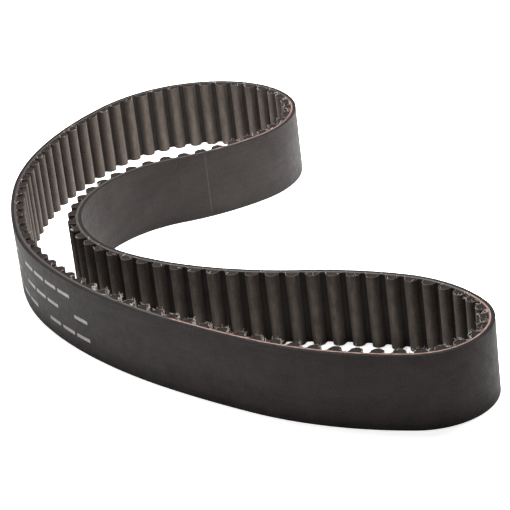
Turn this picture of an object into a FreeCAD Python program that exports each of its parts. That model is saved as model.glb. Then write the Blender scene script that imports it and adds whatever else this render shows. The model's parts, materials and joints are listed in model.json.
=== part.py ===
import FreeCAD, Part
import math
import os

os.makedirs("parts", exist_ok=True)

# A toothed timing belt: one endless band with curved teeth on its inner side.
# It stands on one cut edge. X is to the right, Y is away, Z is up.
# The origin is on the lower cut edge's plane, under the middle of the belt's outline.
# All sizes are millimetres and all angles are degrees.

# ---- the band's cross-section -------------------------------------------------
belt_width = 30.0            # from one cut edge to the other, along Z
backing_thickness = 1.42     # plain rubber on the smooth outer side
cord_diameter = 0.90         # one tensile cord
cord_cover = 0.05            # rubber between a cord and either face of the cord ply
cord_spacing = 1.20          # from one cord to the next, across the width
cord_edge_margin = 0.30      # rubber left beside the lowest whole cord
fabric_thickness = 0.20      # woven facing over the teeth and the lands

# ---- one tooth ----------------------------------------------------------------
tooth_tip_radius = 2.57      # the rounded tooth, over its fabric
root_fillet_radius = 0.80    # where a tooth's flank runs into the land
land_flat = 1.26             # flat land left between two teeth
tooth_height = 3.38          # from the land to the tooth's tip

# ---- the band's lie -----------------------------------------------------------
backing_gap = 0.80           # clear gap between two stretches' backing, where they flex
land_gap = 0.30              # clear gap between their plies, cords and facing, mid-land
start_heading = -170.0       # direction of travel at the start of the first stretch

# The band is followed clockwise, seen from above, so its teeth are on the right.
# Each stretch is two arcs. An arc is (teeth, turn to the left over the whole arc).
stretches = [
    ("inner_bend", [(5, 45.0), (5, 45.0)]),
    ("inner_bend_exit", [(5, 36.0), (5, 17.0)]),
    ("front_lobe_far_side", [(5, 14.0), (5, -16.0)]),
    ("front_lobe_nose", [(5, -40.0), (5, -89.0)]),
    ("front_side_right", [(2, -35.0), (8, -25.0)]),
    ("front_side_middle", [(5, -5.0), (5, -9.0)]),
    ("front_side_left", [(5, -11.0), (5, -18.0)]),
    ("left_bend_near", [(5, -11.0), (5, -18.0)]),
    ("left_bend_far", [(7, -23.0), (3, -25.0)]),
    ("back_side", [(5, -46.0), (5, -50.0)]),
    ("back_lobe_nose", [(6, -73.0), (5, -23.0)]),
]

# ---- sizes that follow from the ones above ------------------------------------
tooth_pitch = 2.0 * (tooth_tip_radius + root_fillet_radius) + land_flat
ply_half = cord_diameter / 2.0 + cord_cover
land_depth = ply_half + fabric_thickness
outer_offset = ply_half + backing_thickness
tip_centre_depth = land_depth + tooth_height - tooth_tip_radius
fillet_reach = tooth_tip_radius + root_fillet_radius


# ---- the pitch line: tangent arcs through the cords' centres ------------------
def walk(turns, teeth, heading):
    """Follow the arcs from (0, 0) and return their starts and the end."""
    x = 0.0
    y = 0.0
    starts = []
    for turn, count in zip(turns, teeth):
        starts.append((x, y, heading))
        length = count * tooth_pitch
        half = turn / 2.0
        chord = length
        if abs(half) > 1e-9:
            chord = length * math.sin(half) / half
        x += chord * math.cos(heading + half)
        y += chord * math.sin(heading + half)
        heading += turn
    return starts, (x, y, heading)


def solve3(rows, right):
    """Solve three linear equations by Cramer's rule."""
    def det(m):
        return (m[0][0] * (m[1][1] * m[2][2] - m[1][2] * m[2][1])
                - m[0][1] * (m[1][0] * m[2][2] - m[1][2] * m[2][0])
                + m[0][2] * (m[1][0] * m[2][1] - m[1][1] * m[2][0]))
    whole = det(rows)
    answer = []
    for column in range(3):
        swapped = [list(row) for row in rows]
        for row in range(3):
            swapped[row][column] = right[row]
        answer.append(det(swapped) / whole)
    return answer


def close_loop(turns, teeth, heading):
    """Change the turns as little as possible so that the band meets itself."""
    scale = sum(teeth) * tooth_pitch
    turns = list(turns)

    def miss(values):
        end = walk(values, teeth, heading)[1]
        return [end[0] / scale, end[1] / scale, end[2] - heading + 2.0 * math.pi]

    for _ in range(12):
        now = miss(turns)
        step = 1e-6
        slopes = []
        for index in range(len(turns)):
            nudged = list(turns)
            nudged[index] += step
            slopes.append([(a - b) / step for a, b in zip(miss(nudged), now)])
        square = [[sum(s[i] * s[j] for s in slopes) for j in range(3)] for i in range(3)]
        weights = solve3(square, [-value for value in now])
        for index, slope in enumerate(slopes):
            turns[index] += sum(w * s for w, s in zip(weights, slope))
    return turns


arc_teeth = [count for _, arcs in stretches for count, _ in arcs]
drawn_turns = [math.radians(turn) for _, arcs in stretches for _, turn in arcs]
arc_turns = close_loop(drawn_turns, arc_teeth, math.radians(start_heading))
arc_starts, loop_end = walk(arc_turns, arc_teeth, math.radians(start_heading))


def signed_radius(turn, count):
    """Radius of an arc, positive when its centre is on the smooth side."""
    if abs(turn) < 1e-6:
        return None
    return count * tooth_pitch / turn


def along(start, radius, distance, offset):
    """Point at a distance along an arc and an offset to its smooth side."""
    x, y, heading = start
    if radius is None:
        px = x + distance * math.cos(heading)
        py = y + distance * math.sin(heading)
        here = heading
    else:
        here = heading + distance / radius
        px = x + radius * (math.sin(here) - math.sin(heading))
        py = y - radius * (math.cos(here) - math.cos(heading))
    return px - offset * math.sin(here), py + offset * math.cos(here), here


# The outline's middle: the smooth face is furthest out where it runs along X or Y.
xs = []
ys = []
for turn, count, start in zip(arc_turns, arc_teeth, arc_starts):
    radius = signed_radius(turn, count)
    stations = [0.0, count * tooth_pitch]
    if radius is not None:
        for quarter in range(-8, 9):
            distance = (quarter * math.pi / 2.0 - start[2]) * radius
            if 0.0 < distance < count * tooth_pitch:
                stations.append(distance)
    for distance in stations:
        px, py, _ = along(start, radius, distance, outer_offset)
        xs.append(px)
        ys.append(py)
middle_x = (min(xs) + max(xs)) / 2.0
middle_y = (min(ys) + max(ys)) / 2.0
arc_starts = [(x - middle_x, y - middle_y, heading) for x, y, heading in arc_starts]


def vec(point, z=0.0):
    """A point in the plane, lifted to a height."""
    return FreeCAD.Vector(point[0], point[1], z)


# ---- one arc with its trimmed ends --------------------------------------------
def arc_record(index, first, last, gap):
    """One arc of a stretch. The stretch's own ends stop half a gap short."""
    count = arc_teeth[index]
    length = count * tooth_pitch
    return {
        "start": arc_starts[index],
        "radius": signed_radius(arc_turns[index], count),
        "count": count,
        "from": gap / 2.0 if first else 0.0,
        "to": length - gap / 2.0 if last else length,
    }


def arc_edge(arc, begin, end, offset):
    """The edge between two distances along an arc, at an offset."""
    a = along(arc["start"], arc["radius"], begin, offset)
    b = along(arc["start"], arc["radius"], end, offset)
    if arc["radius"] is None:
        return Part.LineSegment(vec(a), vec(b)).toShape()
    m = along(arc["start"], arc["radius"], (begin + end) / 2.0, offset)
    return Part.Arc(vec(a), vec(m), vec(b)).toShape()


def strip(arcs, low, high):
    """A plain band between two offsets, as high as the belt is wide."""
    edges = [arc_edge(arc, arc["from"], arc["to"], high) for arc in arcs]
    last = arcs[-1]
    top = along(last["start"], last["radius"], last["to"], high)
    under = along(last["start"], last["radius"], last["to"], low)
    edges.append(Part.LineSegment(vec(top), vec(under)).toShape())
    edges += [arc_edge(arc, arc["to"], arc["from"], low) for arc in reversed(arcs)]
    first = arcs[0]
    under = along(first["start"], first["radius"], first["from"], low)
    top = along(first["start"], first["radius"], first["from"], high)
    edges.append(Part.LineSegment(vec(under), vec(top)).toShape())
    return Part.Face(Part.Wire(edges)).extrude(FreeCAD.Vector(0, 0, belt_width))


# ---- the cords and the ply that holds them ------------------------------------
# The cutting knife passes through the middle of the topmost cord, so half of that
# cord shows as a line on the upper cut edge. The cords below it are whole.
cord_radius = cord_diameter / 2.0
cord_heights = []
height = belt_width
while height - cord_radius >= cord_edge_margin:
    cord_heights.append(height)
    height -= cord_spacing


def section_plate():
    """The cord ply's cross-section, with X outward and Z up."""
    corners = [(-ply_half, 0.0), (ply_half, 0.0), (ply_half, belt_width), (-ply_half, belt_width)]
    outline = [FreeCAD.Vector(x, 0, z) for x, z in corners + corners[:1]]
    return Part.Face(Part.makePolygon(outline))


def section_cords():
    """The cords' cross-sections, the topmost one cut in half by the edge."""
    plate = section_plate()
    discs = []
    for z in cord_heights:
        ring = Part.Circle(FreeCAD.Vector(0, 0, z), FreeCAD.Vector(0, -1, 0), cord_radius)
        disc = Part.Face(Part.Wire([ring.toShape()]))
        if z + cord_radius > belt_width:
            disc = disc.common(plate).Faces[0]
        discs.append(disc)
    return discs


cord_sections = section_cords()
ply_section = section_plate().cut(Part.makeCompound(cord_sections)).Faces[0]


def sweep(face, arc):
    """Carry a cross-section along one arc."""
    x, y, heading = along(arc["start"], arc["radius"], arc["from"], 0.0)
    placed = face.copy()
    placed.rotate(FreeCAD.Vector(0, 0, 0), FreeCAD.Vector(0, 0, 1), math.degrees(heading) + 90.0)
    placed.translate(FreeCAD.Vector(x, y, 0))
    length = arc["to"] - arc["from"]
    if arc["radius"] is None:
        return placed.extrude(FreeCAD.Vector(length * math.cos(heading), length * math.sin(heading), 0))
    radius = arc["radius"]
    centre = FreeCAD.Vector(x - radius * math.sin(heading), y + radius * math.cos(heading), 0)
    return placed.revolve(centre, FreeCAD.Vector(0, 0, 1), math.degrees(length / radius))


def swept(face, arcs):
    """Carry a cross-section along a whole stretch as one solid."""
    pieces = [sweep(face, arc) for arc in arcs]
    joined = pieces[0]
    for piece in pieces[1:]:
        joined = joined.fuse(piece)
    return joined.Solids[0]


# ---- the teeth and their fabric -----------------------------------------------
def tooth_points(radius, inset):
    """The tooth's outline in its own frame, moved into the rubber by the inset.

    X is along the band and Y is outward. The rounded tip and each root fillet are
    circles that touch, and the fillet touches the land's circle.
    """
    if radius is None:
        fillet_y = -(land_depth + root_fillet_radius)
        land_centre = None
    else:
        rho = abs(radius + land_depth + root_fillet_radius)
        top = radius ** 2 - tip_centre_depth ** 2 - rho ** 2 + fillet_reach ** 2
        fillet_y = top / (2.0 * (radius + tip_centre_depth))
        land_centre = (0.0, radius)
    fillet_x = math.sqrt(fillet_reach ** 2 - (fillet_y + tip_centre_depth) ** 2)
    fillet_r = root_fillet_radius + inset
    tip_r = tooth_tip_radius - inset
    if land_centre is None:
        land = (fillet_x, fillet_y + fillet_r)
    else:
        share = abs(radius + land_depth - inset) / rho
        land = (fillet_x * share, radius + (fillet_y - radius) * share)
    share = tip_r / fillet_reach
    join = (fillet_x * share, -tip_centre_depth + (fillet_y + tip_centre_depth) * share)
    lean_x = (land[0] + join[0]) / 2.0 - fillet_x
    lean_y = (land[1] + join[1]) / 2.0 - fillet_y
    lean = math.hypot(lean_x, lean_y)
    bend = (fillet_x + fillet_r * lean_x / lean, fillet_y + fillet_r * lean_y / lean)
    tip = (0.0, -tip_centre_depth - tip_r)
    left = [(-x, y) for x, y in (land, bend, join)]
    return left + [tip] + [join, bend, land]


def tooth_edges(arc, index, inset):
    """The tooth's five edges in place, with its two land points."""
    x, y, heading = along(arc["start"], arc["radius"], (index + 0.5) * tooth_pitch, 0.0)
    placed = []
    for px, py in tooth_points(arc["radius"], inset):
        wx = x + px * math.cos(heading) - py * math.sin(heading)
        wy = y + px * math.sin(heading) + py * math.cos(heading)
        placed.append(FreeCAD.Vector(wx, wy, 0))
    edges = [
        Part.Arc(placed[0], placed[1], placed[2]).toShape(),
        Part.Arc(placed[2], placed[3], placed[4]).toShape(),
        Part.Arc(placed[4], placed[5], placed[6]).toShape(),
    ]
    return edges, placed[0], placed[6]


def land_edge(arc, fixed, distance, inset, forward):
    """The land between a tooth's foot and a station along the band."""
    offset = -(land_depth - inset)
    end = vec(along(arc["start"], arc["radius"], distance, offset))
    pair = (fixed, end) if forward else (end, fixed)
    if arc["radius"] is None:
        return Part.LineSegment(pair[0], pair[1]).toShape()
    sx, sy, heading = arc["start"]
    centre = FreeCAD.Vector(sx - arc["radius"] * math.sin(heading),
                            sy + arc["radius"] * math.cos(heading), 0)
    lean = (fixed + end) * 0.5 - centre
    reach = (end - centre).Length
    middle = centre + lean * (reach / lean.Length)
    return Part.Arc(pair[0], middle, pair[1]).toShape()


def toothed_line(arcs, inset):
    """The whole toothed outline of a stretch, from its first end to its last."""
    edges = []
    for arc in arcs:
        for index in range(arc["count"]):
            near = max(arc["from"], index * tooth_pitch)
            far = min(arc["to"], (index + 1) * tooth_pitch)
            tooth, foot_in, foot_out = tooth_edges(arc, index, inset)
            edges.append(land_edge(arc, foot_in, near, inset, False))
            edges += tooth
            edges.append(land_edge(arc, foot_out, far, inset, True))
    return edges


def facing(arcs):
    """The woven facing: one thin wavy sheet over every tooth and land."""
    outside = toothed_line(arcs, 0.0)
    inside = toothed_line(arcs, fabric_thickness)
    first = arcs[0]
    last = arcs[-1]
    ends = []
    for arc, distance in ((first, first["from"]), (last, last["to"])):
        low = along(arc["start"], arc["radius"], distance, -land_depth)
        high = along(arc["start"], arc["radius"], distance, -ply_half)
        ends.append(Part.LineSegment(vec(low), vec(high)).toShape())
    wire = Part.Wire(Part.__sortEdges__(outside + inside + ends))
    return Part.Face(wire).extrude(FreeCAD.Vector(0, 0, belt_width))


def tooth_core(arc, index):
    """The rubber inside one tooth, closed by the cord ply's face."""
    edges, foot_in, foot_out = tooth_edges(arc, index, fabric_thickness)
    crown = vec(along(arc["start"], arc["radius"], (index + 0.5) * tooth_pitch, -ply_half))
    if arc["radius"] is None:
        closing = Part.LineSegment(foot_out, foot_in).toShape()
    else:
        closing = Part.Arc(foot_out, crown, foot_in).toShape()
    return Part.Face(Part.Wire(edges + [closing])).extrude(FreeCAD.Vector(0, 0, belt_width))


# ---- build and write every stretch --------------------------------------------
def write(name, solids):
    """Write one node: a single solid, or a group of identical separate solids."""
    shape = solids[0] if len(solids) == 1 else Part.makeCompound(solids)
    if not shape.isValid() or any(solid.Volume <= 0 for solid in solids):
        raise RuntimeError("bad shape in " + name)
    shape.exportStep("parts/" + name + ".step")


arc_index = 0
for number, (place, drawn) in enumerate(stretches, start=1):
    arcs = []
    backing_arcs = []
    for position in range(len(drawn)):
        first = position == 0
        last = position == len(drawn) - 1
        arcs.append(arc_record(arc_index, first, last, land_gap))
        backing_arcs.append(arc_record(arc_index, first, last, backing_gap))
        arc_index += 1
    label = "%02d" % number
    write("backing_rubber_" + label, [strip(backing_arcs, ply_half, outer_offset)])
    write("cord_ply_" + label, [swept(ply_section, arcs)])
    write("tension_cords_" + label, [swept(disc, arcs) for disc in cord_sections])
    write("tooth_rubber_" + label,
          [tooth_core(arc, index) for arc in arcs for index in range(arc["count"])])
    write("facing_fabric_" + label, [facing(arcs)])
    print(label, place, "teeth", sum(arc["count"] for arc in arcs))

print("teeth", sum(arc_teeth), "pitch", tooth_pitch, "pitch length", sum(arc_teeth) * tooth_pitch)
print("overall thickness", tooth_height + land_depth + outer_offset)
print("outline", max(xs) - min(xs), "by", max(ys) - min(ys), "by", belt_width)
print("joint error", math.hypot(loop_end[0], loop_end[1]))
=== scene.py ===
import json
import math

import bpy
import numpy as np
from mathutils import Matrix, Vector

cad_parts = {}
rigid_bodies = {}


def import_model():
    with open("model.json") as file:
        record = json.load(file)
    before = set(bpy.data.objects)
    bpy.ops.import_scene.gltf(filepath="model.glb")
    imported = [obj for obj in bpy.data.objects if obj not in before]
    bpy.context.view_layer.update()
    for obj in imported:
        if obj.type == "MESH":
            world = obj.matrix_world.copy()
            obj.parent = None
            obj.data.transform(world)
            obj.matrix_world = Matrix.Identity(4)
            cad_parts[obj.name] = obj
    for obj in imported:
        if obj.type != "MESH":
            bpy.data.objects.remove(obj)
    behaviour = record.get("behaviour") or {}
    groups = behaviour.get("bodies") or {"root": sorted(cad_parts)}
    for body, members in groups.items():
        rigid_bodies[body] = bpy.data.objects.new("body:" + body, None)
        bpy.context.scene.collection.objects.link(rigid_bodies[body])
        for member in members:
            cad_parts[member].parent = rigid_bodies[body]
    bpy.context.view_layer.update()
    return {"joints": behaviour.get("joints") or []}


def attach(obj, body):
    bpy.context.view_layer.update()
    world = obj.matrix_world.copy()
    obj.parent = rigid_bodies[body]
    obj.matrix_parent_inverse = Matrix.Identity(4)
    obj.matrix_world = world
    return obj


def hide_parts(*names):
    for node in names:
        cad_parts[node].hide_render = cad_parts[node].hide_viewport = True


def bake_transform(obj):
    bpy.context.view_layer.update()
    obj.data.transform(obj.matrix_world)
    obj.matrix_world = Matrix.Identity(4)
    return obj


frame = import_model()

# %% [markdown]
# # A toothed timing belt
# The object is one endless rubber band with curved teeth on its inner side. It stands on one cut
# edge and lies slack, folded into two lobes. From outside to inside it is made of a rubber backing,
# a ply of rubber with tensile cords in it, a row of rubber teeth, and a thin woven facing.
# The frame that was just loaded holds eleven stiff stretches of it, joined by hinges. Here each
# layer is drawn again as a smooth skin in pieces, laid over those hinges.

MM = 0.001

# %% [markdown]
# ## The sizes of the band
# A belt's cross-section is a stack of layers, so every offset can be added up from the centre line
# of the cords. Offsets to the smooth side are positive and offsets to the toothed side are
# negative. Keeping the sizes in millimetres makes them easy to compare with a caliper reading.

# %% Cross-section and tooth, in millimetres
WIDTH = 30.0
BACKING = 1.42
CORD = 0.90
CORD_COVER = 0.05
CORD_SPACING = 1.20
CORD_COUNT = 25
FABRIC = 0.20
TIP_RADIUS = 2.57
FILLET = 0.80
LAND = 1.26
TOOTH_HEIGHT = 3.38

PITCH = 2.0 * (TIP_RADIUS + FILLET) + LAND
PLY_HALF = CORD / 2.0 + CORD_COVER
LAND_DEPTH = PLY_HALF + FABRIC
OUTER = PLY_HALF + BACKING
TIP_CENTRE = LAND_DEPTH + TOOTH_HEIGHT - TIP_RADIUS
REACH = TIP_RADIUS + FILLET
print("pitch", PITCH, "thickness", round(OUTER + LAND_DEPTH + TOOTH_HEIGHT, 3))

# %% [markdown]
# ## The line that the belt follows
# A slack belt has no corners, so its centre line can be written as arcs that run into each other.
# Each arc is a whole number of teeth and an angle of turn, positive to the left. The belt is
# followed clockwise, seen from above, so the teeth are on the right-hand side. Eleven stretches
# have two arcs each. The drawn angles don't quite bring the band back to its start, so the
# smallest possible change to all of them is worked out with least squares.

# %% The arcs
BODIES = ["inner_bend", "inner_bend_exit", "front_lobe_far_side", "front_lobe_nose",
          "front_side_right", "front_side_middle", "front_side_left", "left_bend_near",
          "left_bend_far", "back_side", "back_lobe_nose"]
ARCS = [(5, 45.0), (5, 45.0), (5, 36.0), (5, 17.0), (5, 14.0), (5, -16.0), (5, -40.0), (5, -89.0),
        (2, -35.0), (8, -25.0), (5, -5.0), (5, -9.0), (5, -11.0), (5, -18.0), (5, -11.0),
        (5, -18.0), (7, -23.0), (3, -25.0), (5, -46.0), (5, -50.0), (6, -73.0), (5, -23.0)]
START_HEADING = math.radians(-170.0)
TEETH = sum(count for count, _ in ARCS)
LOOP = TEETH * PITCH
lengths = np.array([count * PITCH for count, _ in ARCS])
arc_begins = np.concatenate([[0.0], np.cumsum(lengths)])


def walk(turns):
    """Starts of all arcs as (x, y, heading), and the end of the last one."""
    x, y, heading = 0.0, 0.0, START_HEADING
    starts = []
    for turn, length in zip(turns, lengths):
        starts.append((x, y, heading))
        chord = length * math.sin(turn / 2.0) / (turn / 2.0)
        x += chord * math.cos(heading + turn / 2.0)
        y += chord * math.sin(heading + turn / 2.0)
        heading += turn
    return starts, np.array([x / LOOP, y / LOOP, heading - START_HEADING + 2.0 * math.pi])


turns = np.radians([turn for _, turn in ARCS])
for _ in range(12):
    miss = walk(turns)[1]
    nudges = 1e-6 * np.eye(len(turns))
    slopes = np.array([(walk(turns + nudge)[1] - miss) / 1e-6 for nudge in nudges])
    turns = turns + np.linalg.lstsq(slopes.T, -miss, rcond=None)[0]
print("teeth", TEETH, "loop", LOOP, "mm, miss", float(np.abs(walk(turns)[1]).max()))

# %% [markdown]
# ## Laying the line on the frame
# The hinges of the frame sit on this same centre line, where two stretches meet. Moving the line so
# that its second stretch starts at the first hinge puts every later piece in the right place, and
# the other hinges show whether it fits.

# %% Place the line by the hinges
pivots = {frozenset((j["parent"], j["child"])): Vector(j["pos_m"]) / MM for j in frame["joints"]}
arc_starts = walk(turns)[0]
first_hinge = pivots[frozenset(BODIES[:2])]
shift_x = first_hinge.x - arc_starts[2][0]
shift_y = first_hinge.y - arc_starts[2][1]
arc_starts = [(x + shift_x, y + shift_y, heading) for x, y, heading in arc_starts]
radii = lengths / turns


def arc_at(distance):
    """Number of the arc that holds a distance along the belt."""
    return min(int(np.searchsorted(arc_begins, distance + 1e-9, side="right")) - 1, len(ARCS) - 1)


def station(distance, offset, arc=None):
    """Point at a distance along the belt and an offset to its smooth side, with its heading."""
    arc = arc_at(distance) if arc is None else arc
    x, y, heading = arc_starts[arc]
    radius = radii[arc]
    here = heading + (distance - arc_begins[arc]) / radius
    x += radius * (math.sin(here) - math.sin(heading)) - offset * math.sin(here)
    y += -radius * (math.cos(here) - math.cos(heading)) + offset * math.cos(here)
    return x, y, here


worst = 0.0
for number in range(1, len(BODIES)):
    hinge = pivots[frozenset(BODIES[number - 1:number + 1])]
    x, y, _ = station(arc_begins[2 * number], 0.0)
    worst = max(worst, math.hypot(x - hinge.x, y - hinge.y))
print("largest gap between the line and a hinge, mm:", round(worst, 5))

# %% [markdown]
# ## Cutting the skin into spans
# So each piece runs from the middle of one stretch to the middle of the next, with its hinge
# halfway. The loop itself is open at one land. The first and the last half piece face each other
# there, with a hair of room so that they don't meet in a bend.

# %% The spans
OPEN_ROOM = 0.04

middles = []
for number in range(len(BODIES)):
    count = ARCS[2 * number][0] + ARCS[2 * number + 1][0]
    middles.append(arc_begins[2 * number] + math.ceil(count / 2.0) * PITCH)
cuts = [OPEN_ROOM] + middles + [LOOP - OPEN_ROOM]
spans = []
for number, (begin, end) in enumerate(zip(cuts[:-1], cuts[1:])):
    bodies = [BODIES[k] for k in (number - 1, number) if 0 <= k < len(BODIES)]
    labels = ["%02d" % (k + 1) for k in (number - 1, number) if 0 <= k < len(BODIES)]
    spans.append({"begin": begin, "end": end, "bodies": bodies, "labels": labels,
                  "name": "_".join(labels), "first_tooth": round(begin / PITCH),
                  "last_tooth": round(end / PITCH)})
print(len(spans), "spans:", [(s["name"], s["last_tooth"] - s["first_tooth"]) for s in spans])

# %% [markdown]
# ## Shared shader groups
# Rubber, fabric and cord all need some of the same effects: patches of slightly different colour,
# a grain that runs along the belt, worn cut edges, and a weave. Each effect is one shader node
# group with named inputs, made once and placed in several materials with different values. They
# read the belt's own map, in which one unit is one millimetre along the belt or across it, so
# that a pattern stays on the rubber when the belt bends.


# %% Helpers for shader trees
def new_group(name, inputs, outputs):
    """A shader group with float, vector and colour sockets."""
    kinds = {"value": "NodeSocketFloat", "vector": "NodeSocketVector", "colour": "NodeSocketColor"}
    group = bpy.data.node_groups.new(name, "ShaderNodeTree")
    for label, kind, default in inputs:
        made = group.interface.new_socket(label, in_out="INPUT", socket_type=kinds[kind])
        if default is not None:
            made.default_value = default
    for label, kind in outputs:
        group.interface.new_socket(label, in_out="OUTPUT", socket_type=kinds[kind])
    return group, group.nodes.new("NodeGroupInput"), group.nodes.new("NodeGroupOutput")


def wire(tree, value, socket):
    """Link an output to a socket, or set the socket to a plain value."""
    if isinstance(value, bpy.types.NodeSocket):
        tree.links.new(value, socket)
    else:
        socket.default_value = value


def maths(tree, operation, a, b=0.5, c=0.5, clamp=False):
    """A Math node and its output."""
    node = tree.nodes.new("ShaderNodeMath")
    node.operation = operation
    node.use_clamp = clamp
    for value, socket in zip((a, b, c), node.inputs):
        wire(tree, value, socket)
    return node.outputs[0]


def times(tree, a, b):
    """Two values multiplied."""
    return maths(tree, "MULTIPLY", a, b)


def plus(tree, a, b, clamp=False):
    """Two values added."""
    return maths(tree, "ADD", a, b, clamp=clamp)


def minus(tree, a, b):
    """The second value taken from the first."""
    return maths(tree, "SUBTRACT", a, b)


def apart(tree, a, b):
    """How far two values are from each other."""
    return maths(tree, "ABSOLUTE", minus(tree, a, b))


def carried(tree, name, output="Fac"):
    """A value that the mesh's points carry, by its name."""
    node = tree.nodes.new("ShaderNodeAttribute")
    node.attribute_name = name
    return node.outputs[output]


def stretch(tree, vector, scale):
    """Scale a vector unevenly with a Mapping node."""
    node = tree.nodes.new("ShaderNodeMapping")
    wire(tree, vector, node.inputs["Vector"])
    node.inputs["Scale"].default_value = scale
    return node.outputs["Vector"]


def noise(tree, vector, scale, detail=4.0, rough=0.55):
    """A noise value from 0 to 1."""
    node = tree.nodes.new("ShaderNodeTexNoise")
    wire(tree, vector, node.inputs["Vector"])
    wire(tree, scale, node.inputs["Scale"])
    node.inputs["Detail"].default_value = detail
    node.inputs["Roughness"].default_value = rough
    return node.outputs["Fac"]


def spread(tree, value, low, high, out_low=0.0, out_high=1.0):
    """Stretch a range of values to another one, clamped."""
    node = tree.nodes.new("ShaderNodeMapRange")
    for item, socket in zip((value, low, high, out_low, out_high), node.inputs[:5]):
        wire(tree, item, socket)
    return node.outputs["Result"]


def blend_colour(tree, factor, first, second):
    """Mix two colours."""
    node = tree.nodes.new("ShaderNodeMix")
    node.data_type = "RGBA"
    colours = [s for s in node.inputs if s.type == "RGBA"]
    wire(tree, factor, node.inputs[0])
    wire(tree, first, colours[0])
    wire(tree, second, colours[1])
    return next(s for s in node.outputs if s.type == "RGBA")


def split(tree, vector):
    """The parts of a vector."""
    node = tree.nodes.new("ShaderNodeSeparateXYZ")
    wire(tree, vector, node.inputs[0])
    return node.outputs[0], node.outputs[1], node.outputs[2]


# %% Mottle: patches of colour
SPECKS_PER_MM = 1.4


def build_mottle():
    """Soft patches between two colours, with a finer speckle on top."""
    group, entry, leave = new_group(
        "Mottle",
        [("Vector", "vector", None), ("Patch Size", "value", 8.0), ("Speckle", "value", 0.3),
         ("Dark", "colour", (0.04, 0.035, 0.03, 1.0)),
         ("Light", "colour", (0.08, 0.07, 0.06, 1.0))],
        [("Colour", "colour"), ("Mask", "value")])
    where = entry.outputs["Vector"]
    per_mm = maths(group, "DIVIDE", 1.0, entry.outputs["Patch Size"])
    patches = spread(group, noise(group, where, per_mm, 3.0), 0.3, 0.7)
    specks = spread(group, noise(group, where, SPECKS_PER_MM, 3.0, 0.7), 0.32, 0.68)
    share = times(group, specks, entry.outputs["Speckle"])
    keep = minus(group, 1.0, entry.outputs["Speckle"])
    mask = plus(group, times(group, patches, keep), share, clamp=True)
    group.links.new(blend_colour(group, mask, entry.outputs["Dark"], entry.outputs["Light"]),
                    leave.inputs["Colour"])
    group.links.new(mask, leave.inputs["Mask"])
    return group


mottle = build_mottle()


# %% Running grain: fine lines along the belt
def build_grain():
    """Long fine lines along the belt, as moulding and grinding leave them."""
    group, entry, leave = new_group(
        "Running Grain",
        [("Vector", "vector", None), ("Line Spacing", "value", 0.35), ("Contrast", "value", 1.0)],
        [("Height", "value"), ("Mask", "value")])
    per_mm = maths(group, "DIVIDE", 1.0, entry.outputs["Line Spacing"])
    where = entry.outputs["Vector"]
    fine = noise(group, stretch(group, where, (0.02, 1.0, 1.0)), per_mm, 3.0)
    broad = noise(group, stretch(group, where, (0.006, 0.35, 1.0)), 1.0, 2.0)
    both = plus(group, times(group, fine, 0.6), times(group, broad, 0.4))
    centred = minus(group, both, 0.5)
    mask = maths(group, "MULTIPLY_ADD", centred, entry.outputs["Contrast"], 0.5, clamp=True)
    group.links.new(both, leave.inputs["Height"])
    group.links.new(mask, leave.inputs["Mask"])
    return group


grain = build_grain()


# %% Edge wear: the two cut edges
def build_edge_wear():
    """A broken line of wear beside the cut edges, from the distance across the belt."""
    group, entry, leave = new_group(
        "Edge Wear",
        [("Vector", "vector", None), ("Belt Width", "value", WIDTH), ("Reach", "value", 0.8)],
        [("Mask", "value")])
    _, across, _ = split(group, entry.outputs["Vector"])
    half = times(group, entry.outputs["Belt Width"], 0.5)
    inward = minus(group, half, apart(group, across, half))
    ragged = noise(group, stretch(group, entry.outputs["Vector"], (0.5, 1.0, 1.0)), 1.3, 4.0)
    reach = times(group, entry.outputs["Reach"], times(group, ragged, 2.0))
    group.links.new(spread(group, inward, reach, 0.0), leave.inputs["Mask"])
    return group


edge_wear = build_edge_wear()


# %% Weave: over and under threads
def build_weave():
    """A plain weave: threads along and across, each one over and then under the next."""
    group, entry, leave = new_group(
        "Weave", [("Vector", "vector", None), ("Thread", "value", 0.45)], [("Height", "value")])
    along, across, _ = split(group, entry.outputs["Vector"])
    turn = maths(group, "DIVIDE", math.pi, entry.outputs["Thread"])
    wave_along = maths(group, "SINE", times(group, along, turn))
    wave_across = maths(group, "SINE", times(group, across, turn))
    over = times(group, wave_along, wave_across)
    warp_up, weft_up = spread(group, over, -0.4, 0.4), spread(group, over, 0.4, -0.4)
    warp = times(group, maths(group, "ABSOLUTE", wave_along), warp_up)
    weft = times(group, maths(group, "ABSOLUTE", wave_across), weft_up)
    group.links.new(maths(group, "MAXIMUM", warp, weft), leave.inputs["Height"])
    return group


weave = build_weave()
print("shader groups:", [g.name for g in (mottle, grain, edge_wear, weave)])

# %% [markdown]
# ## Materials
# Every material is one Principled shader, fed by the groups above. Rubber is dark and rough, and
# it turns paler where light grazes it, because its skin is slightly dusty. The facing is a nylon
# weave, painted pale on the tooth crests as wear and as a painted highlight, and painted dark in
# the gaps as dirt and as painted shade.


# %% Helpers for materials
def new_material(name, roughness, specular, sheen=0.0, sheen_roughness=0.5):
    """A material with its shader, and the belt's own map in millimetres."""
    material = bpy.data.materials.new(name)
    material.use_nodes = True
    tree = material.node_tree
    shader = tree.nodes["Principled BSDF"]
    shader.inputs["Roughness"].default_value = roughness
    shader.inputs["Specular IOR Level"].default_value = specular
    shader.inputs["Sheen Weight"].default_value = sheen
    shader.inputs["Sheen Roughness"].default_value = sheen_roughness
    where = tree.nodes.new("ShaderNodeUVMap")
    where.uv_map = "Belt"
    return material, tree, shader, where.outputs["UV"]


def place(tree, group, **values):
    """Put a shader group into a material and set its inputs."""
    node = tree.nodes.new("ShaderNodeGroup")
    node.node_tree = group
    for label, value in values.items():
        wire(tree, value, node.inputs[label.replace("_", " ")])
    return node


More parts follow.
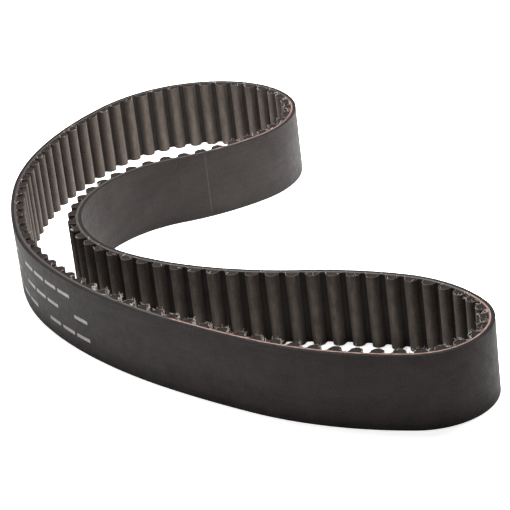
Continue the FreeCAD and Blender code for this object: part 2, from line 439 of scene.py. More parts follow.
def bump(tree, shader, height, strength, distance):
    """Give a shader a bumpy surface."""
    node = tree.nodes.new("ShaderNodeBump")
    node.inputs["Strength"].default_value = strength
    node.inputs["Distance"].default_value = distance
    wire(tree, height, node.inputs["Height"])
    tree.links.new(node.outputs["Normal"], shader.inputs["Normal"])


# %% [markdown]
# ### Print marks
# Belts carry rows of pale printing on their backs. No printing is copied here: its place is taken
# by three rows of long plain bars, all of one height, in a layout of their own. A random number for
# each bar leaves a few out, and a soft noise fades the ink without breaking a bar up, so that no
# bar turns into anything like a letter.

# %% Print marks: plain bars in rows
PRINT_BEGIN = 60.6 * PITCH
PRINT_END = 75.0 * PITCH
PRINT_LOW = 3.0
ROW_HEIGHT = 8.0
ROW_COUNT = 3
BAR_LENGTH = 11.0
BAR_HALF_HEIGHT = 0.09      # a share of the row's height
BAR_HALF_LENGTH = 0.41      # a share of the bar's cell
LEFT_OUT = 0.12             # the share of bars that carry no ink


def random_cell(tree, along, row, length):
    """A random value for each cell of a row, and the place inside the cell."""
    cell_at = maths(tree, "DIVIDE", along, length)
    seat = tree.nodes.new("ShaderNodeCombineXYZ")
    tree.links.new(maths(tree, "FLOOR", cell_at), seat.inputs[0])
    tree.links.new(row, seat.inputs[1])
    pick = tree.nodes.new("ShaderNodeTexWhiteNoise")
    pick.noise_dimensions = "2D"
    tree.links.new(seat.outputs[0], pick.inputs["Vector"])
    return pick.outputs["Value"], apart(tree, maths(tree, "FRACT", cell_at), 0.5)


def build_bars():
    """Rows of long plain bars, all of one height, between two distances along the belt."""
    group, entry, leave = new_group(
        "Print Bars",
        [("Vector", "vector", None), ("Begin", "value", PRINT_BEGIN), ("End", "value", PRINT_END),
         ("Low", "value", PRINT_LOW), ("Row Height", "value", ROW_HEIGHT),
         ("Rows", "value", ROW_COUNT)],
        [("Mask", "value")])
    along, across, _ = split(group, entry.outputs["Vector"])
    from_low = minus(group, across, entry.outputs["Low"])
    row_at = maths(group, "DIVIDE", from_low, entry.outputs["Row Height"])
    row = maths(group, "FLOOR", row_at)
    level = apart(group, maths(group, "FRACT", row_at), 0.5)
    pick, inside = random_cell(group, along, row, BAR_LENGTH)
    bar = spread(group, level, BAR_HALF_HEIGHT + 0.01, BAR_HALF_HEIGHT)
    ends = spread(group, inside, BAR_HALF_LENGTH + 0.01, BAR_HALF_LENGTH)
    inked = maths(group, "GREATER_THAN", pick, LEFT_OUT)
    after = spread(group, minus(group, along, entry.outputs["Begin"]), 0.0, 0.4)
    before = spread(group, minus(group, entry.outputs["End"], along), 0.0, 0.4)
    above = maths(group, "GREATER_THAN", row_at, 0.0)
    below = maths(group, "LESS_THAN", row_at, entry.outputs["Rows"])
    faded = noise(group, entry.outputs["Vector"], 0.35, 2.0, 0.5)
    worn = spread(group, faded, 0.25, 0.70, 0.45, 1.0)
    mask = times(group, bar, ends)
    for share in (inked, after, before, above, below, worn):
        mask = times(group, mask, share)
    group.links.new(mask, leave.inputs["Mask"])
    return group


bars = build_bars()

# %% [markdown]
# ### The backing
# The smooth side is matte brown-black rubber with a grain that runs along the belt, a few paler
# patches, worn cut edges, the bars, and one faint line across it where the mould closed.

# %% Backing rubber
SEAM_AT = LOOP - 1.6 * PITCH
PALE_RUBBER = (0.075, 0.066, 0.062, 1.0)
FRESH_CUT = (0.0050, 0.0041, 0.0038, 1.0)
INK = (0.52, 0.49, 0.46, 1.0)


def backing_material():
    """Matte rubber with grain, patches, worn edges, bars and the mould's line."""
    material, tree, shader, where = new_material("backing_rubber", 0.60, 0.14, 0.03, 0.45)
    base = place(tree, mottle, Vector=where, Patch_Size=14.0, Speckle=0.6,
                 Dark=(0.0095, 0.0075, 0.0070, 1.0), Light=(0.0330, 0.0263, 0.0242, 1.0))
    lines = place(tree, grain, Vector=where, Line_Spacing=0.30, Contrast=2.4)
    wear = place(tree, edge_wear, Vector=where, Reach=0.35)
    along, across, _ = split(tree, where)
    seam = spread(tree, apart(tree, along, SEAM_AT), 0.35, 0.05)
    ink = place(tree, bars, Vector=where)
    cut = maths(tree, "MAXIMUM", spread(tree, across, WIDTH - 0.13, WIDTH - 0.03),
                spread(tree, across, 0.13, 0.03))
    colour = base.outputs["Colour"]
    for mask, share, tint in ((lines.outputs["Mask"], 0.16, PALE_RUBBER),
                              (wear.outputs["Mask"], 0.18, PALE_RUBBER),
                              (seam, 0.45, PALE_RUBBER), (ink.outputs["Mask"], 0.85, INK),
                              (cut, 0.95, FRESH_CUT)):
        colour = blend_colour(tree, times(tree, mask, share), colour, tint)
    tree.links.new(colour, shader.inputs["Base Color"])
    rough = spread(tree, noise(tree, where, 0.25, 4.0), 0.3, 0.7, 0.52, 0.68)
    rough = plus(tree, rough, times(tree, cut, 0.30), clamp=True)
    tree.links.new(rough, shader.inputs["Roughness"])
    height = plus(tree, lines.outputs["Height"], times(tree, seam, 0.4))
    height = plus(tree, height, times(tree, base.outputs["Mask"], 0.9))
    bump(tree, shader, height, 0.5, 0.00022)
    return material


# %% [markdown]
# ### Cut rubber
# The ply and the teeth only show their cut ends. A knife leaves them darker and duller than a
# moulded skin. A cut end has no length along the belt for a pattern to follow, so each point
# carries its place at rest, and the patches read that and bend with the rubber.


# %% Ply rubber and tooth rubber
def cut_rubber(name, dark, light):
    """Rubber as the knife left it."""
    material, tree, shader, _ = new_material(name, 0.92, 0.08)
    base = place(tree, mottle, Vector=carried(tree, "rest", "Vector"), Patch_Size=1.6,
                 Speckle=0.5, Dark=dark, Light=light)
    tree.links.new(base.outputs["Colour"], shader.inputs["Base Color"])
    bump(tree, shader, base.outputs["Mask"], 0.4, 0.00008)
    return material


# %% [markdown]
# ### The woven facing
# The nylon is brown-grey. A value that the mesh carries tells how far a point is from the land,
# 0, to the crest of a tooth, 1: the crests are painted pale, as wear and as a painted highlight,
# and the gaps are painted dark, as dirt and as painted shade. The thin cut edge of the cloth is
# pale as well, because its bare threads show.


# %% Facing fabric
# Colours of the facing. The rubbed colour is also a painted highlight on the crests. The dirt
# colour is also painted shade in the gaps and in the weave's hollows.
RUBBED_NYLON_AND_HIGHLIGHT = (0.165, 0.135, 0.112, 1.0)
SCRATCHED_NYLON = (0.40, 0.35, 0.30, 1.0)
BARE_NYLON = (0.46, 0.41, 0.36, 1.0)
SHADE_AND_DIRT = (0.012, 0.009, 0.0075, 1.0)


def facing_material():
    """Nylon weave, pale on the crests as wear and painted highlight, dark in the gaps as dirt and
    painted shade, and pale at its cut edges.
    """
    material, tree, shader, where = new_material("facing_fabric", 0.80, 0.15, 0.06, 0.5)
    threads = place(tree, weave, Vector=where, Thread=0.42)
    base = place(tree, mottle, Vector=where, Patch_Size=6.0, Speckle=0.7,
                 Dark=(0.015, 0.0112, 0.0092, 1.0), Light=(0.064, 0.050, 0.0415, 1.0))
    crest = carried(tree, "crest")
    # Painted highlight: the crests are made paler, as wear and as a painted highlight along each
    # ridge.
    rubbed_and_highlight = spread(tree, crest, 0.72, 1.0)
    uneven = noise(tree, stretch(tree, where, (1.0, 0.25, 1.0)), 0.6, 4.0)
    uneven = spread(tree, uneven, 0.3, 0.7, 0.25, 1.0)
    worn = times(tree, times(tree, rubbed_and_highlight, uneven), 0.65)
    scratch = noise(tree, stretch(tree, where, (3.0, 0.30, 1.0)), 1.0, 4.0, 0.7)
    scratch = spread(tree, scratch, 0.62, 0.70)
    scratch = times(tree, scratch, spread(tree, crest, 0.88, 1.0, 0.0, 0.6))
    # Painted shade: the cloth is darkened towards the land, as dirt and as the shade that falls
    # between teeth.
    gap = spread(tree, crest, 0.55, 0.0, 0.0, 0.75)
    # Painted shade in the hollows of the weave, where the threads dip.
    shade = spread(tree, threads.outputs["Height"], 0.0, 1.0, 0.40, 0.0)
    _, across, _ = split(tree, where)
    frayed = carried(tree, "wear")
    depth = maths(tree, "MULTIPLY_ADD", frayed, 1.5, 0.15)
    from_edge = maths(tree, "DIVIDE", minus(tree, WIDTH, across), depth)
    patchy = spread(tree, noise(tree, where, 0.7, 3.0), 0.40, 0.62)
    bare = times(tree, spread(tree, from_edge, 1.0, 0.1), times(tree, frayed, patchy))
    colour = base.outputs["Colour"]
    # This mix paints a highlight on the crests and shade in the gaps and in the weave's hollows,
    # beside the wear, scratches, dirt and bare threads.
    for mask, tint in ((worn, RUBBED_NYLON_AND_HIGHLIGHT), (scratch, SCRATCHED_NYLON), (gap, SHADE_AND_DIRT),
                       (shade, SHADE_AND_DIRT), (bare, BARE_NYLON)):
        colour = blend_colour(tree, mask, colour, tint)
    tree.links.new(colour, shader.inputs["Base Color"])
    bump(tree, shader, threads.outputs["Height"], 0.5, 0.00010)
    return material


# %% [markdown]
# ### Cord and loose fibre
# The cords are pink-brown bundles of glass filament. The knife laid half of the topmost one open,
# so its strands show along the upper edge. In places a smear of rubber still covers it.


# %% Cord and fibre
DUSTY_GLASS = (0.25, 0.175, 0.155, 1.0)
RUBBER_SMEAR = (0.020, 0.015, 0.013, 1.0)


def cord_material():
    """Twisted filament, pink-brown, smeared with rubber in places."""
    material, tree, shader, where = new_material("tension_cord", 0.62, 0.35)
    along, around, _ = split(tree, where)
    twist = plus(tree, times(tree, along, 9.0), times(tree, around, 14.0))
    strands = spread(tree, maths(tree, "SINE", twist), -1.0, 1.0)
    colour = blend_colour(tree, strands, (0.080, 0.030, 0.026, 1.0), (0.190, 0.092, 0.078, 1.0))
    dusty = noise(tree, stretch(tree, where, (0.30, 0.8, 1.0)), 1.0, 4.0)
    dusty = spread(tree, dusty, 0.44, 0.66, 0.0, 0.75)
    colour = blend_colour(tree, dusty, colour, DUSTY_GLASS)
    bare = carried(tree, "bare")
    smear = noise(tree, stretch(tree, where, (0.09, 0.5, 1.0)), 1.0, 5.0, 0.7)
    clean = spread(tree, plus(tree, smear, bare), 0.90, 1.12)
    middle = spread(tree, maths(tree, "ABSOLUTE", around), 0.42, 0.24, 0.15, 1.0)
    clean = times(tree, clean, middle)
    colour = blend_colour(tree, clean, RUBBER_SMEAR, colour)
    tree.links.new(colour, shader.inputs["Base Color"])
    bump(tree, shader, strands, 0.5, 0.00006)
    return material


def fibre_material():
    """Bare nylon filament."""
    material, tree, shader, where = new_material("loose_fibre", 0.7, 0.3, 0.2, 0.5)
    tone = place(tree, mottle, Vector=where, Patch_Size=3.0, Speckle=0.3,
                 Dark=(0.30, 0.26, 0.22, 1.0), Light=(0.62, 0.57, 0.51, 1.0))
    tree.links.new(tone.outputs["Colour"], shader.inputs["Base Color"])
    return material


materials = {
    "backing": backing_material(),
    "ply": cut_rubber("cord_ply_rubber", (0.012, 0.009, 0.008, 1.0), (0.026, 0.020, 0.018, 1.0)),
    "tooth": cut_rubber("tooth_rubber", (0.007, 0.0052, 0.0048, 1.0), (0.018, 0.0135, 0.012, 1.0)),
    "facing": facing_material(),
    "cord": cord_material(),
    "fibre": fibre_material(),
}
print("materials:", [m.name for m in materials.values()])

# %% [markdown]
# ## Geometry Nodes helpers
# Every layer follows the same line, so it is made the same way: the script gives a Geometry Nodes
# tree the line that the layer follows, and the tree sweeps a cross-section along it. The sizes are
# named inputs of the tree, so one tree serves several layers.


# %% Helpers for geometry trees
SHARP_ANGLE = math.radians(38.0)


def new_tree(name, sizes):
    """A geometry tree with a material input and named sizes in metres."""
    tree = bpy.data.node_groups.new(name, "GeometryNodeTree")
    tree.interface.new_socket("Geometry", in_out="INPUT", socket_type="NodeSocketGeometry")
    for label, value in sizes.items():
        made = tree.interface.new_socket(label, in_out="INPUT", socket_type="NodeSocketFloat")
        made.default_value = value
    tree.interface.new_socket("Material", in_out="INPUT", socket_type="NodeSocketMaterial")
    tree.interface.new_socket("Geometry", in_out="OUTPUT", socket_type="NodeSocketGeometry")
    return tree, tree.nodes.new("NodeGroupInput"), tree.nodes.new("NodeGroupOutput")


def node(tree, kind, settings=None, **values):
    """Add a node, set its options, and wire or set its inputs by name."""
    made = tree.nodes.new(kind)
    for label, value in (settings or {}).items():
        setattr(made, label, value)
    for label, value in values.items():
        wanted = label.replace("_", " ")
        wire(tree, value, next(s for s in made.inputs if s.name == wanted and s.enabled))
    return made


def step(tree, kind, settings=None, **values):
    """Add a node, and pass on its first output."""
    return node(tree, kind, settings, **values).outputs[0]


def vector(tree, **parts):
    """A vector made of X, Y and Z."""
    return step(tree, "ShaderNodeCombineXYZ", **parts)


def finish_tree(tree, entry, leave, geometry):
    """End a tree as an exportable mesh with its material."""
    real = step(tree, "GeometryNodeRealizeInstances", Geometry=geometry)
    coat = step(tree, "GeometryNodeSetMaterial", Geometry=real,
                Material=entry.outputs["Material"])
    tree.links.new(coat, leave.inputs["Geometry"])


def store(tree, geometry, name, kind, domain, value):
    """Keep a value on a geometry, under a name."""
    return step(tree, "GeometryNodeStoreNamedAttribute", {"data_type": kind, "domain": domain},
                Geometry=geometry, Name=name, Value=value)


def place_parts(tree):
    """The x, y and z of each point, in metres."""
    return split(tree, step(tree, "GeometryNodeInputPosition"))


def store_map(tree, geometry, along, across=None):
    """Keep a map named Belt, in millimetres along and across, or along and up."""
    if across is None:
        across = times(tree, place_parts(tree)[2], 1000.0)
    return store(tree, geometry, "Belt", "FLOAT2", "CORNER", vector(tree, X=along, Y=across))


def store_rest(tree, geometry):
    """Keep each point's place at rest, in millimetres, so that a pattern bends with the belt."""
    scaled = node(tree, "ShaderNodeVectorMath", {"operation": "MULTIPLY"})
    tree.links.new(step(tree, "GeometryNodeInputPosition"), scaled.inputs[0])
    scaled.inputs[1].default_value = (1000.0, 1000.0, 1000.0)
    return store(tree, geometry, "rest", "FLOAT_VECTOR", "POINT", scaled.outputs["Vector"])


def read_value(tree, name):
    """A float that the points carry."""
    return step(tree, "GeometryNodeInputNamedAttribute", {"data_type": "FLOAT"}, Name=name)


def sweep(tree, entry, profile):
    """Sweep a closed profile along the incoming line, upright, and close its ends."""
    rail = step(tree, "GeometryNodeMeshToCurve", Mesh=entry.outputs["Geometry"])
    upright = step(tree, "GeometryNodeSetCurveNormal", {"mode": "Z_UP"}, Curve=rail)
    return step(tree, "GeometryNodeCurveToMesh", Curve=upright, Profile_Curve=profile,
                Fill_Caps=True)


def rectangle(tree, entry):
    """A rectangle as thick and as high as the tree's inputs say."""
    return step(tree, "GeometryNodeCurvePrimitiveQuadrilateral",
                Width=entry.outputs["Thickness"], Height=entry.outputs["Height"])


def run_tree(name, tree, source, material, **sizes):
    """Run a tree on a mesh, and keep the result as a plain mesh object."""
    holder = bpy.data.objects.new(name + "_source", source)
    bpy.context.scene.collection.objects.link(holder)
    modifier = holder.modifiers.new("shape", "NODES")
    modifier.node_group = tree
    identifiers = {s.name: s.identifier for s in tree.interface.items_tree
                   if s.item_type == "SOCKET" and s.in_out == "INPUT"}
    modifier[identifiers["Material"]] = material
    for label, value in sizes.items():
        modifier[identifiers[label.replace("_", " ")]] = value
    graph = bpy.context.evaluated_depsgraph_get()
    mesh = bpy.data.meshes.new_from_object(holder.evaluated_get(graph), depsgraph=graph)
    mesh.name = name
    holder.modifiers.clear()
    bpy.data.objects.remove(holder)
    bpy.data.meshes.remove(source)
    mesh.shade_smooth()
    mesh.set_sharp_from_angle(angle=SHARP_ANGLE)
    made = bpy.data.objects.new(name, mesh)
    bpy.context.scene.collection.objects.link(made)
    return made


def line_mesh(name, loops, closed=False, **values):
    """A mesh of bare edges through points in millimetres, with a float on each point."""
    points = []
    edges = []
    for loop in loops:
        base = len(points)
        points += [(x * MM, y * MM, z * MM) for x, y, z in loop]
        edges += [(base + k, base + k + 1) for k in range(len(loop) - 1)]
        if closed:
            edges.append((base + len(loop) - 1, base))
    mesh = bpy.data.meshes.new(name)
    mesh.from_pydata(points, edges, [])
    for label, numbers in values.items():
        kept = mesh.attributes.new(label, "FLOAT", "POINT")
        kept.data.foreach_set("value", numbers)
    return mesh


# %% [markdown]
# ## The flat layers: backing and cord ply
# Both are plain strips, so a rounded rectangle is swept along the line. The backing could also be
# a bent box, but a sweep keeps its thickness true on every bend. A sliver at each end of a span
# makes the shading run on across the cut.

# %% The strip tree
SLIVER = 0.03
STRIP_STEP = 0.8
BACKING_EDGE = 0.12
PLY_EDGE = 0.01


def build_strip_tree():
    """Sweep a rounded rectangle along a line."""
    tree, entry, leave = new_tree("strip_along_line",
                                  {"Thickness": 0.0015, "Height": 0.03, "Edge Radius": 0.0001})
    rounded = step(tree, "GeometryNodeFilletCurve", {"mode": "POLY"}, Curve=rectangle(tree, entry),
                   Count=3, Radius=entry.outputs["Edge Radius"], Limit_Radius=True)
    mapped = store_map(tree, sweep(tree, entry, rounded), read_value(tree, "along"))
    finish_tree(tree, entry, leave, store_rest(tree, mapped))
    return tree


strip_tree = build_strip_tree()


def distances(span, step):
    """Distances from one end of a span to the other, with a sliver at each end."""
    begin = span["begin"] + SLIVER
    room = span["end"] - SLIVER - begin
    count = math.ceil(room / step)
    return [span["begin"]] + [begin + room * k / count for k in range(count + 1)] + [span["end"]]


def strip(span, kind, low, high, edge):
    """One strip between two offsets, over one span."""
    steps = distances(span, STRIP_STEP)
    points = [station(s, (low + high) / 2.0)[:2] + (WIDTH / 2.0,) for s in steps]
    source = line_mesh(kind, [points], along=steps)
    return run_tree(kind + "_" + span["name"], strip_tree, source, materials[kind],
                    Thickness=(high - low) * MM, Height=WIDTH * MM, Edge_Radius=edge * MM)


pieces = []
for span in spans:
    pieces.append((strip(span, "backing", PLY_HALF, OUTER, BACKING_EDGE), span, "backing_rubber"))
    pieces.append((strip(span, "ply", -PLY_HALF, PLY_HALF, PLY_EDGE), span, "cord_ply"))
print("strips:", len(pieces), "pieces, first:", [round(v / MM, 2) for v in pieces[0][0].dimensions])

# %% [markdown]
# ## The toothed line
# A curvilinear tooth is a large circle at its tip and a small circle at each root. Each circle
# touches the next, and the small ones touch the line of the land, so the outline has no corner
# anywhere. Drawing the true circles, instead of bending a straight tooth, keeps each tooth's size
# where the belt turns sharply. Moving the outline inwards makes the small circles grow and the
# large one shrink.


# %% One tooth, then the line over many teeth
def tooth_outline(radius, inset):
    """One tooth in its own frame, from land to land, moved into the rubber by the inset."""
    rho = abs(radius + LAND_DEPTH + FILLET)
    top = radius ** 2 - TIP_CENTRE ** 2 - rho ** 2 + REACH ** 2
    foot_y = top / (2.0 * (radius + TIP_CENTRE))
    foot_x = math.sqrt(REACH ** 2 - (foot_y + TIP_CENTRE) ** 2)
    foot_r, tip_r = FILLET + inset, TIP_RADIUS - inset
    share = abs(radius + LAND_DEPTH - inset) / rho
    land = (foot_x * share, radius + (foot_y - radius) * share)
    first = math.atan2(land[1] - foot_y, land[0] - foot_x)
    last = math.atan2(-TIP_CENTRE - foot_y, -foot_x)
    last += 2.0 * math.pi if last < first else 0.0
    lean = math.atan2(foot_y + TIP_CENTRE, foot_x)
    right = [(foot_x + foot_r * math.cos(first + (last - first) * k / 5.0),
              foot_y + foot_r * math.sin(first + (last - first) * k / 5.0)) for k in range(6)]
    sweep = math.pi / 2.0 + lean
    tip = [(tip_r * math.sin(sweep * k / 9.0), -TIP_CENTRE - tip_r * math.cos(sweep * k / 9.0))
           for k in range(9)]
    half = tip[1:] + right[::-1]
    return [(-x, y) for x, y in half[::-1]] + [tip[0]] + half


def set_in_place(points, distance):
    """Points of a tooth's own frame, at a distance along the belt."""
    x, y, heading = station(distance, 0.0)
    c, s = math.cos(heading), math.sin(heading)
    return [(x + px * c - py * s, y + px * s + py * c) for px, py in points]


def toothed_line(span, inset):
    """The toothed line of a span: points, places along the belt, and crest values."""
    points, places, crests = [], [], []

    def add(point, place_at, crest):
        points.append(point)
        places.append(place_at)
        crests.append(crest)

    offset = inset - LAND_DEPTH
    add(station(span["begin"], offset, arc_at(span["begin"]))[:2], span["begin"], 0.0)
    add(station(span["begin"] + SLIVER, offset)[:2], span["begin"] + SLIVER, 0.0)
    for index in range(span["first_tooth"], span["last_tooth"]):
        centre = (index + 0.5) * PITCH
        outline = tooth_outline(radii[arc_at(centre)], inset)
        for (px, py), point in zip(outline, set_in_place(outline, centre)):
            add(point, centre + px, max(0.0, min(1.0, (-py - LAND_DEPTH) / TOOTH_HEIGHT)))
        if index + 1 < span["last_tooth"]:
            add(station((index + 1) * PITCH, offset)[:2], (index + 1) * PITCH, 0.0)
    last_arc = arc_at(span["end"] - SLIVER)
    add(station(span["end"] - SLIVER, offset, last_arc)[:2], span["end"] - SLIVER, 0.0)
    add(station(span["end"], offset, last_arc)[:2], span["end"], 0.0)
    return points, places, crests


sample = tooth_outline(radii[0], 0.0)
print("one tooth:", len(sample), "points, half width at the land", round(sample[-1][0], 3),
      "depth", round(-min(y for _, y in sample), 3))

# %% [markdown]
# ### Where the belt is frayed
# A belt doesn't wear evenly. A short table says how worn each part of the cut edge is, and the
# cloth's edge shows it in clumps, on the flank of each tooth that meets the pulley first.

# %% Fraying along the belt
FRAYED = [(404.0, 484.0, 0.85), (268.0, 330.0, 0.70), (330.0, 404.0, 0.55), (764.0, 888.0, 0.22),
          (0.0, 60.0, 0.18)]
WORN_FLANK = 1.9


def fraying(distance):
    """How worn the edge is at a distance along the belt, from 0 to 1."""
    return max([0.10] + [level for low, high, level in FRAYED if low <= distance < high])


def edge_fraying(places, crests):
    """Wear of the cloth's edge: in clumps on one flank of each tooth, weaker at the tips."""
    clumps = [0.5 + 0.5 * math.cos(2.0 * math.pi * (s - WORN_FLANK) / PITCH) for s in places]
    return [fraying(s) * (1.0 - 0.6 * crest) * (0.35 + 0.95 * clump)
            for s, crest, clump in zip(places, crests, clumps)]


print("worn parts of the belt, mm:", [(low, high) for low, high, _ in FRAYED])

# %% [markdown]
# ## The woven facing
# The facing follows the toothed line as one thin cloth. It is swept like the strips, then its upper
# edge is moved up and down a little by noise, because a knife never cuts cloth cleanly. The line
# carries the length of the cloth itself, so the weave isn't stretched where it climbs a tooth.

# %% The facing tree
CLOTH_RAGGED = 0.38


def build_facing_tree():
    """Sweep a thin strip along the toothed line and make its upper edge ragged."""
    tree, entry, leave = new_tree("facing_along_teeth",
                                  {"Thickness": 0.00025, "Height": 0.03, "Ragged": 0.0003})
    swept = sweep(tree, entry, rectangle(tree, entry))
    middle = times(tree, entry.outputs["Height"], 0.5)
    is_top = maths(tree, "GREATER_THAN", place_parts(tree)[2], middle)
    rough = noise(tree, step(tree, "GeometryNodeInputPosition"), 900.0, 2.0, 0.5)
    lift = times(tree, minus(tree, rough, 0.35), entry.outputs["Ragged"])
    shaped = step(tree, "GeometryNodeSetPosition", Geometry=swept,
                  Offset=vector(tree, Z=times(tree, lift, is_top)))
    finish_tree(tree, entry, leave, store_map(tree, shaped, read_value(tree, "along")))
    return tree


facing_tree = build_facing_tree()


def cloth_lengths(points, start):
    """Running length along a line, from a starting value."""
    lengths_so_far = [start]
    for a, b in zip(points[:-1], points[1:]):
        lengths_so_far.append(lengths_so_far[-1] + math.dist(a, b))
    return lengths_so_far


cloth = 0.0
for span in spans:
    points, places, crests = toothed_line(span, FABRIC / 2.0)
    run = cloth_lengths(points, cloth)
    cloth = run[-1]
    source = line_mesh("facing", [[(x, y, WIDTH / 2.0) for x, y in points]],
                       along=run, crest=crests, wear=edge_fraying(places, crests))
    piece = run_tree("facing_" + span["name"], facing_tree, source, materials["facing"],
                     Thickness=FABRIC * MM, Height=WIDTH * MM, Ragged=CLOTH_RAGGED * MM * 2.0)
    pieces.append((piece, span, "facing_fabric"))
print("cloth length, mm:", round(cloth, 1), "against the belt's", LOOP)

# %% [markdown]
# ## The teeth
# Under the facing each tooth is a solid bar of rubber. Its outline is closed along the ply, filled,
# and pulled up to the belt's width. A filled curve is one flat face, so the tree adds a turned copy
# of it underneath, to close the bar.

# %% The tooth tree
def build_tooth_tree():
    """Fill closed outlines and pull them up into bars."""
    tree, entry, leave = new_tree("teeth_from_outlines", {"Height": 0.03})
    outline = step(tree, "GeometryNodeMeshToCurve", Mesh=entry.outputs["Geometry"])
    filled = step(tree, "GeometryNodeFillCurve", {"mode": "NGONS"}, Curve=outline)
    pulled = step(tree, "GeometryNodeExtrudeMesh", Mesh=filled, Individual=False,
                  Offset=vector(tree, Z=entry.outputs["Height"]))
    under = step(tree, "GeometryNodeFlipFaces", Mesh=filled)
    both = node(tree, "GeometryNodeJoinGeometry")
    for part in (pulled, under):
        tree.links.new(part, both.inputs["Geometry"])
    merged = step(tree, "GeometryNodeMergeByDistance", Geometry=both.outputs[0],
                  Distance=0.000001)
    mapped = store_map(tree, merged, times(tree, place_parts(tree)[0], 1000.0))
    finish_tree(tree, entry, leave, store_rest(tree, mapped))
    return tree


tooth_tree = build_tooth_tree()


def bar_outlines(span):
    """The closed outlines of a span's tooth bars, each closed along the ply."""
    loops = []
    for index in range(span["first_tooth"], span["last_tooth"]):
        centre = (index + 0.5) * PITCH
        arc = arc_at(centre)
        points = tooth_outline(radii[arc], FABRIC)
        reach = points[-1][0]
        closing = [station(centre + reach * (1.0 - k / 2.0), -PLY_HALF, arc)[:2] for k in (1, 2, 3)]
        loops.append([(x, y, 0.0) for x, y in set_in_place(points, centre) + closing])
    return loops


for span in spans:
    source = line_mesh("teeth", bar_outlines(span), closed=True)
    piece = run_tree("teeth_" + span["name"], tooth_tree, source, materials["tooth"],
                     Height=WIDTH * MM)
    pieces.append((piece, span, "tooth_rubber"))
print("tooth bars:", sum(s["last_tooth"] - s["first_tooth"] for s in spans))

# %% [markdown]
# ## The tensile cords
# Twenty-five cords lie side by side across the belt. One tube is swept along the centre line and
# put on a column of points. The topmost cord lies in the cut edge, so its upper half is gone. It
# is left a hair proud of the edge, as stiff glass is when soft rubber is cut.

# %% The cord tree
CORD_PROUD = 0.16
CORD_STEP = 1.6


def build_cord_tree():
    """Sweep one cord, repeat it across the belt, and cut the topmost one flat."""
    tree, entry, leave = new_tree("cords_across_belt",
                                  {"Radius": 0.0004, "Spacing": 0.0012, "Count": 25.0,
                                   "Top": 0.03, "Proud": 0.0003})
    ring = step(tree, "GeometryNodeCurvePrimitiveCircle", Resolution=8,
                Radius=entry.outputs["Radius"])
    side = times(tree, place_parts(tree)[0], 1000.0)
    tube = sweep(tree, entry, store(tree, ring, "side", "FLOAT", "POINT", side))
    down = vector(tree, Z=times(tree, entry.outputs["Spacing"], -1.0))
    column = step(tree, "GeometryNodeMeshLine", Count=entry.outputs["Count"], Offset=down,
                  Start_Location=vector(tree, Z=entry.outputs["Top"]))
    repeated = step(tree, "GeometryNodeInstanceOnPoints", Points=column, Instance=tube)
    real = step(tree, "GeometryNodeRealizeInstances", Geometry=repeated)
    x, y, z = place_parts(tree)
    proud = times(tree, entry.outputs["Proud"], read_value(tree, "bare"))
    level = plus(tree, entry.outputs["Top"], proud)
    cut = step(tree, "GeometryNodeSetPosition", Geometry=real,
               Position=vector(tree, X=x, Y=y, Z=maths(tree, "MINIMUM", z, level)))
    mapped = store_map(tree, cut, read_value(tree, "along"), read_value(tree, "side"))
    finish_tree(tree, entry, leave, mapped)
    return tree


cord_tree = build_cord_tree()
BARE = [(262.0, 442.0, 1.0), (790.0, 880.0, 0.55), (120.0, 200.0, 0.30)]
BARE_FADE = 12.0


def bareness(distance):
    """How bare the topmost cord is at a distance along the belt, from 0.05 to 1."""
    levels = [level * min(1.0, (distance - low) / BARE_FADE, (high - distance) / BARE_FADE)
              for low, high, level in BARE if low < distance < high]
    return max([0.05] + levels)


for span in spans:
    steps = distances(span, CORD_STEP)
    source = line_mesh("cords", [[station(s, 0.0)[:2] + (0.0,) for s in steps]], along=steps,
                       bare=[bareness(s) for s in steps])
    piece = run_tree("cords_" + span["name"], cord_tree, source, materials["cord"],
                     Radius=CORD / 2.0 * MM, Spacing=CORD_SPACING * MM, Count=float(CORD_COUNT),
                     Top=WIDTH * MM, Proud=CORD_PROUD * MM)
    pieces.append((piece, span, "tension_cords"))
print("cords:", CORD_COUNT, "in each span,", len(piece.data.polygons), "faces in the last one")

# %% [markdown]
# ## Loose fibres
# Where the belt has worn, single filaments stand up from the cut edge of the facing.
# One bent hair is drawn once, then put on points along the edge, with random leans and lengths
# and a fixed seed. A value on the line says how worn each place is, and thins the hairs out where
# the edge is sound.

# %% The fibre tree
FIBRE_RADIUS = 0.065
FIBRE_LENGTH = 1.0
FIBRE_GAP = 0.22
FIRST_SEED = 11
MOST_LEAN = 0.9


